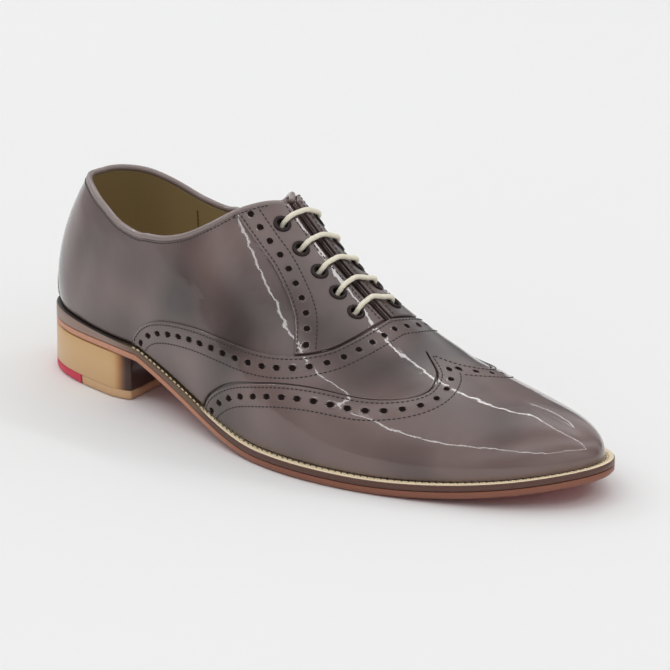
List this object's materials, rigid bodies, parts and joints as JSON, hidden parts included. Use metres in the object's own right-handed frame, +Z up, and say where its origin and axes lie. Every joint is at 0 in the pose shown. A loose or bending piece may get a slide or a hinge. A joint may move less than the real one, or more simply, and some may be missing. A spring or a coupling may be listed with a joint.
{
  "type": "wing-tip oxford shoe",
  "caption": "Right wing-tip oxford in patent leather with open collar, closed lacing, tongue, welt, leather sole and stacked heel, standing empty on heel and forefoot.",
  "frame": {"origin": "on the floor, under the middle of the shoe's box", "axes": "+X from the heel to the toe, +Y to the inner side of the foot, +Z up"},
  "size_m": [0.2949, 0.1056, 0.0985],
  "materials": {
    "patent": "glossy patent",
    "edging": "satin rolled edge",
    "lining": "matt, uncoated",
    "welt": "matt, pale",
    "sole": "painted, semi-gloss",
    "wood": "satin, plain grain",
    "rubber": "matt, fine ribbed",
    "insert": "matt",
    "eyelet": "dark gunmetal, satin",
    "lace": "waxed round cord"
  },
  "bodies": {
    "root": {"outsole": "sole", "welt": "welt", "insole": "lining", "heel_block": "wood", "heel_lift": "rubber", "heel_insert": "insert", "upper": "patent", "vamp": "patent", "wing_cap": "patent", "facing_outer": "patent", "facing_inner": "patent", "back_strip": "patent", "topline_bead": "edging", "tongue": "patent", "eyelet_outer_1": "eyelet", "eyelet_inner_1": "eyelet", "eyelet_outer_2": "eyelet", "eyelet_inner_2": "eyelet", "eyelet_outer_3": "eyelet", "eyelet_inner_3": "eyelet", "eyelet_outer_4": "eyelet", "eyelet_inner_4": "eyelet", "eyelet_outer_5": "eyelet", "eyelet_inner_5": "eyelet", "lace_bar_1": "lace", "lace_bar_2": "lace", "lace_bar_3": "lace", "lace_bar_4": "lace", "lace_bar_5": "lace"}
  },
  "joints": []
}
